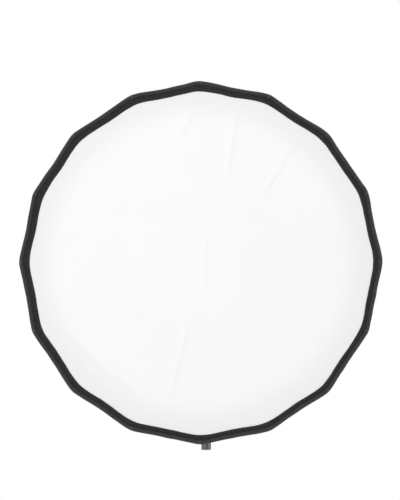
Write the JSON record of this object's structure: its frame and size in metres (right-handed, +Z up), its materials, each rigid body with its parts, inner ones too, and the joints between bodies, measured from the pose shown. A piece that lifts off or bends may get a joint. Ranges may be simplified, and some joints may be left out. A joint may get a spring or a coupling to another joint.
{
  "type": "studio softbox",
  "caption": "Round folding softbox with a ribbed fabric shell, removable front cloth, turning rib hub, tilting bracket and riser post.",
  "frame": {"origin": "centre of the lamp port, on the face where the bayonet adapter meets the fixed ring", "axes": "+Y back along the softbox's axis towards the lamp, so the front cloth faces -Y; +Z up along the riser post; +X to the right as seen from the front"},
  "size_m": [0.9, 0.56, 0.955],
  "materials": {
    "shell_black": "black coated nylon, satin weave",
    "silver_lining": "pebbled silver reflective coating",
    "trim_black": "black grosgrain and hook-and-loop tape",
    "diffuser_white": "white translucent polyester",
    "rib_steel": "spring steel, grey satin",
    "cast_black": "cast aluminium, black textured powder coat",
    "satin_metal": "turned aluminium, satin",
    "hub_plastic": "moulded glass-filled nylon, fine texture",
    "knob_plastic": "moulded plastic, fine texture",
    "steel": "zinc-plated steel",
    "post_grey": "grey anodised tube, satin, drawn lines",
    "fibre": "pressed friction fibre"
  },
  "bodies": {
    "post": {"post_tube": "post_grey", "post_spigot": "steel", "post_socket": "hub_plastic", "socket_clamp": "cast_black"},
    "socket_knob": {"socket_knob": "knob_plastic"},
    "receiver": {"stand_receiver": "cast_black", "friction_disc": "fibre", "tilt_bolt": "steel"},
    "receiver_knob": {"receiver_knob": "knob_plastic"},
    "tilt_lever": {"tilt_lever": "knob_plastic"},
    "tilt_head": {"tilt_arm": "cast_black", "arm_screws": "steel", "ring_base": "cast_black", "hub_sleeve": "satin_metal", "lamp_adapter": "satin_metal", "adapter_screws": "steel", "hub_circlip": "steel"},
    "ring_lock_knob": {"ring_lock_knob": "knob_plastic"},
    "rotor": {"rib_hub": "hub_plastic", "hinge_pins": "steel", "rear_cuff": "trim_black"},
    "lock_collar": {"lock_collar": "hub_plastic"},
    "diffuser": {"front_diffuser": "diffuser_white", "diffuser_binding": "trim_black"},
    "baffle": {"inner_baffle": "diffuser_white", "baffle_binding": "trim_black", "baffle_straps": "trim_black", "baffle_hooks": "knob_plastic"},
    "rib_01": {"rib_01": "rib_steel", "skin_panel_01": "shell_black"},
    "rib_02": {"rib_02": "rib_steel", "skin_panel_02": "shell_black"},
    "rib_03": {"rib_03": "rib_steel", "skin_panel_03": "shell_black"},
    "rib_04": {"rib_04": "rib_steel", "skin_panel_04": "shell_black"},
    "rib_05": {"rib_05": "rib_steel", "skin_panel_05": "shell_black"},
    "rib_06": {"rib_06": "rib_steel", "skin_panel_06": "shell_black"},
    "rib_07": {"rib_07": "rib_steel", "skin_panel_07": "shell_black"},
    "rib_08": {"rib_08": "rib_steel", "skin_panel_08": "shell_black"},
    "rib_09": {"rib_09": "rib_steel", "skin_panel_09": "shell_black"},
    "rib_10": {"rib_10": "rib_steel", "skin_panel_10": "shell_black"},
    "rib_11": {"rib_11": "rib_steel", "skin_panel_11": "shell_black"},
    "rib_12": {"rib_12": "rib_steel", "skin_panel_12": "shell_black"},
    "rib_13": {"rib_13": "rib_steel", "skin_panel_13": "shell_black"},
    "rib_14": {"rib_14": "rib_steel", "skin_panel_14": "shell_black"},
    "rib_15": {"rib_15": "rib_steel", "skin_panel_15": "shell_black"},
    "rib_16": {"rib_16": "rib_steel", "skin_panel_16": "shell_black"}
  },
  "joints": [
    {"name": "post_pan", "type": "hinge", "parent": "post", "child": "receiver", "pos_m": [0, 0.045, -0.18], "axis": [0, 0, 1], "continuous": true},
    {"name": "tilt", "type": "hinge", "parent": "receiver", "child": "tilt_head", "pos_m": [0, 0.045, -0.128], "axis": [1, 0, 0], "range_deg": [-75, 45]},
    {"name": "ring_spin", "type": "hinge", "parent": "tilt_head", "child": "rotor", "pos_m": [0, 0, 0], "axis": [0, 1, 0], "continuous": true},
    {"name": "socket_knob_turn", "type": "hinge", "parent": "post", "child": "socket_knob", "pos_m": [0, 0.07, -0.47], "axis": [0, 1, 0], "range_deg": [0, 270]},
    {"name": "receiver_knob_turn", "type": "hinge", "parent": "receiver", "child": "receiver_knob", "pos_m": [-0.0245, 0.045, -0.182], "axis": [-1, 0, 0], "range_deg": [0, 270]},
    {"name": "tilt_lever_turn", "type": "hinge", "parent": "receiver", "child": "tilt_lever", "pos_m": [0.02, 0.045, -0.128], "axis": [1, 0, 0], "range_deg": [-75, 75]},
    {"name": "ring_lock_turn", "type": "hinge", "parent": "tilt_head", "child": "ring_lock_knob", "pos_m": [0.102, -0.018, 0], "axis": [1, 0, 0], "range_deg": [0, 270]},
    {"name": "frame_fold", "type": "hinge", "parent": "rotor", "child": "rib_01", "pos_m": [0, -0.038, 0.078], "axis": [1, 0, 0], "range_deg": [0, 40], "deforming": ["skin_panel_01"]},
    {"name": "rib_02_fold", "type": "hinge", "parent": "rotor", "child": "rib_02", "pos_m": [0.02985, -0.038, 0.07206], "axis": [0.9239, 0, -0.3827], "range_deg": [0, 40.5], "deforming": ["skin_panel_02"]},
    {"name": "rib_03_fold", "type": "hinge", "parent": "rotor", "child": "rib_03", "pos_m": [0.05515, -0.038, 0.05515], "axis": [0.7071, 0, -0.7071], "range_deg": [0, 40.5], "deforming": ["skin_panel_03"]},
    {"name": "rib_04_fold", "type": "hinge", "parent": "rotor", "child": "rib_04", "pos_m": [0.07206, -0.038, 0.02985], "axis": [0.3827, 0, -0.9239], "range_deg": [0, 40.5], "deforming": ["skin_panel_04"]},
    {"name": "rib_05_fold", "type": "hinge", "parent": "rotor", "child": "rib_05", "pos_m": [0.078, -0.038, 0], "axis": [0, 0, -1], "range_deg": [0, 40.5], "deforming": ["skin_panel_05"]},
    {"name": "rib_06_fold", "type": "hinge", "parent": "rotor", "child": "rib_06", "pos_m": [0.07206, -0.038, -0.02985], "axis": [-0.3827, 0, -0.9239], "range_deg": [0, 40.5], "deforming": ["skin_panel_06"]},
    {"name": "rib_07_fold", "type": "hinge", "parent": "rotor", "child": "rib_07", "pos_m": [0.05515, -0.038, -0.05515], "axis": [-0.7071, 0, -0.7071], "range_deg": [0, 40.5], "deforming": ["skin_panel_07"]},
    {"name": "rib_08_fold", "type": "hinge", "parent": "rotor", "child": "rib_08", "pos_m": [0.02985, -0.038, -0.07206], "axis": [-0.9239, 0, -0.3827], "range_deg": [0, 40.5], "deforming": ["skin_panel_08"]},
    {"name": "rib_09_fold", "type": "hinge", "parent": "rotor", "child": "rib_09", "pos_m": [0, -0.038, -0.078], "axis": [-1, 0, 0], "range_deg": [0, 40.5], "deforming": ["skin_panel_09"]},
    {"name": "rib_10_fold", "type": "hinge", "parent": "rotor", "child": "rib_10", "pos_m": [-0.02985, -0.038, -0.07206], "axis": [-0.9239, 0, 0.3827], "range_deg": [0, 40.5], "deforming": ["skin_panel_10"]},
    {"name": "rib_11_fold", "type": "hinge", "parent": "rotor", "child": "rib_11", "pos_m": [-0.05515, -0.038, -0.05515], "axis": [-0.7071, 0, 0.7071], "range_deg": [0, 40.5], "deforming": ["skin_panel_11"]},
    {"name": "rib_12_fold", "type": "hinge", "parent": "rotor", "child": "rib_12", "pos_m": [-0.07206, -0.038, -0.02985], "axis": [-0.3827, 0, 0.9239], "range_deg": [0, 40.5], "deforming": ["skin_panel_12"]},
    {"name": "rib_13_fold", "type": "hinge", "parent": "rotor", "child": "rib_13", "pos_m": [-0.078, -0.038, 0], "axis": [0, 0, 1], "range_deg": [0, 40.5], "deforming": ["skin_panel_13"]},
    {"name": "rib_14_fold", "type": "hinge", "parent": "rotor", "child": "rib_14", "pos_m": [-0.07206, -0.038, 0.02985], "axis": [0.3827, 0, 0.9239], "range_deg": [0, 40.5], "deforming": ["skin_panel_14"]},
    {"name": "rib_15_fold", "type": "hinge", "parent": "rotor", "child": "rib_15", "pos_m": [-0.05515, -0.038, 0.05515], "axis": [0.7071, 0, 0.7071], "range_deg": [0, 40.5], "deforming": ["skin_panel_15"]},
    {"name": "rib_16_fold", "type": "hinge", "parent": "rotor", "child": "rib_16", "pos_m": [-0.02985, -0.038, 0.07206], "axis": [0.9239, 0, 0.3827], "range_deg": [0, 40.5], "deforming": ["skin_panel_16"]},
    {"name": "collar_slide", "type": "slide", "parent": "rotor", "child": "lock_collar", "axis": [0, 1, 0], "range_m": [0, 0.0086]},
    {"name": "diffuser_removal", "type": "slide", "parent": "rotor", "child": "diffuser", "axis": [0, -1, 0], "range_m": [0, 0.92]},
    {"name": "baffle_removal", "type": "slide", "parent": "rotor", "child": "baffle", "axis": [0, -1, 0], "range_m": [0, 0.92]}
  ],
  "couplings": [
    {"joint": "rib_02_fold", "follows": "frame_fold", "ratio": 1},
    {"joint": "rib_03_fold", "follows": "frame_fold", "ratio": 1},
    {"joint": "rib_04_fold", "follows": "frame_fold", "ratio": 1},
    {"joint": "rib_05_fold", "follows": "frame_fold", "ratio": 1},
    {"joint": "rib_06_fold", "follows": "frame_fold", "ratio": 1},
    {"joint": "rib_07_fold", "follows": "frame_fold", "ratio": 1},
    {"joint": "rib_08_fold", "follows": "frame_fold", "ratio": 1},
    {"joint": "rib_09_fold", "follows": "frame_fold", "ratio": 1},
    {"joint": "rib_10_fold", "follows": "frame_fold", "ratio": 1},
    {"joint": "rib_11_fold", "follows": "frame_fold", "ratio": 1},
    {"joint": "rib_12_fold", "follows": "frame_fold", "ratio": 1},
    {"joint": "rib_13_fold", "follows": "frame_fold", "ratio": 1},
    {"joint": "rib_14_fold", "follows": "frame_fold", "ratio": 1},
    {"joint": "rib_15_fold", "follows": "frame_fold", "ratio": 1},
    {"joint": "rib_16_fold", "follows": "frame_fold", "ratio": 1},
    {"joint": "collar_slide", "follows": "frame_fold", "m_per_rad": 0.011954},
    {"joint": "diffuser_removal", "follows": "frame_fold", "m_per_rad": 1.3},
    {"joint": "baffle_removal", "follows": "frame_fold", "m_per_rad": 1.3}
  ]
}
